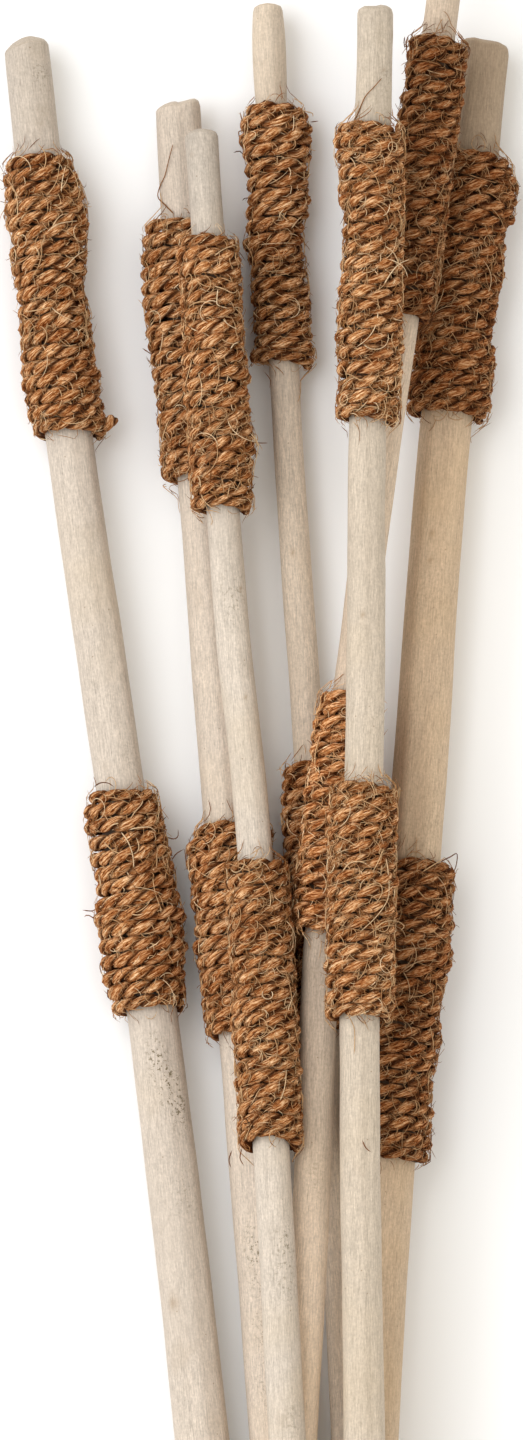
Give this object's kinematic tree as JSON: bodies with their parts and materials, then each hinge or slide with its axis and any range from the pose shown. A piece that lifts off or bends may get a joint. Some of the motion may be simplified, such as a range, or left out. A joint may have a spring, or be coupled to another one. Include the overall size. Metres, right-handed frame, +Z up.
{
  "type": "jute stick bunch",
  "caption": "Decorative bunch of slender pale wooden sticks, each wound with bands of jute rope, fanned out from a twine tie near the lower ends, lying down.",
  "frame": {"origin": "on the surface that the bunch lies on, below the centre of its bounding box", "axes": "+Y along the sticks from their sawn lower ends to their tips, +X to the right as seen from above, +Z up"},
  "size_m": [0.2464, 1.0005, 0.1067],
  "materials": {
    "wood": "raw, pale, dry wood with fine lengthwise grain",
    "shaded_wood": "raw, slightly darker tan wood with fine lengthwise grain",
    "jute_rope": "coarse twisted jute rope, hairy",
    "jute_twine": "thin twisted jute twine"
  },
  "bodies": {
    "root": {"stick_a": "wood", "stick_b": "wood", "stick_c": "wood", "stick_d": "shaded_wood", "stick_e": "wood", "stick_f": "shaded_wood", "stick_g": "shaded_wood", "lower_wrap_a": "jute_rope", "lower_wrap_b": "jute_rope", "lower_wrap_c": "jute_rope", "lower_wrap_d": "jute_rope", "lower_wrap_e": "jute_rope", "lower_wrap_f": "jute_rope", "lower_wrap_g": "jute_rope", "upper_wrap_a": "jute_rope", "upper_wrap_b": "jute_rope", "upper_wrap_c": "jute_rope", "upper_wrap_d": "jute_rope", "upper_wrap_e": "jute_rope", "upper_wrap_f": "jute_rope", "upper_wrap_g": "jute_rope", "twine_tie": "jute_twine"}
  },
  "joints": []
}
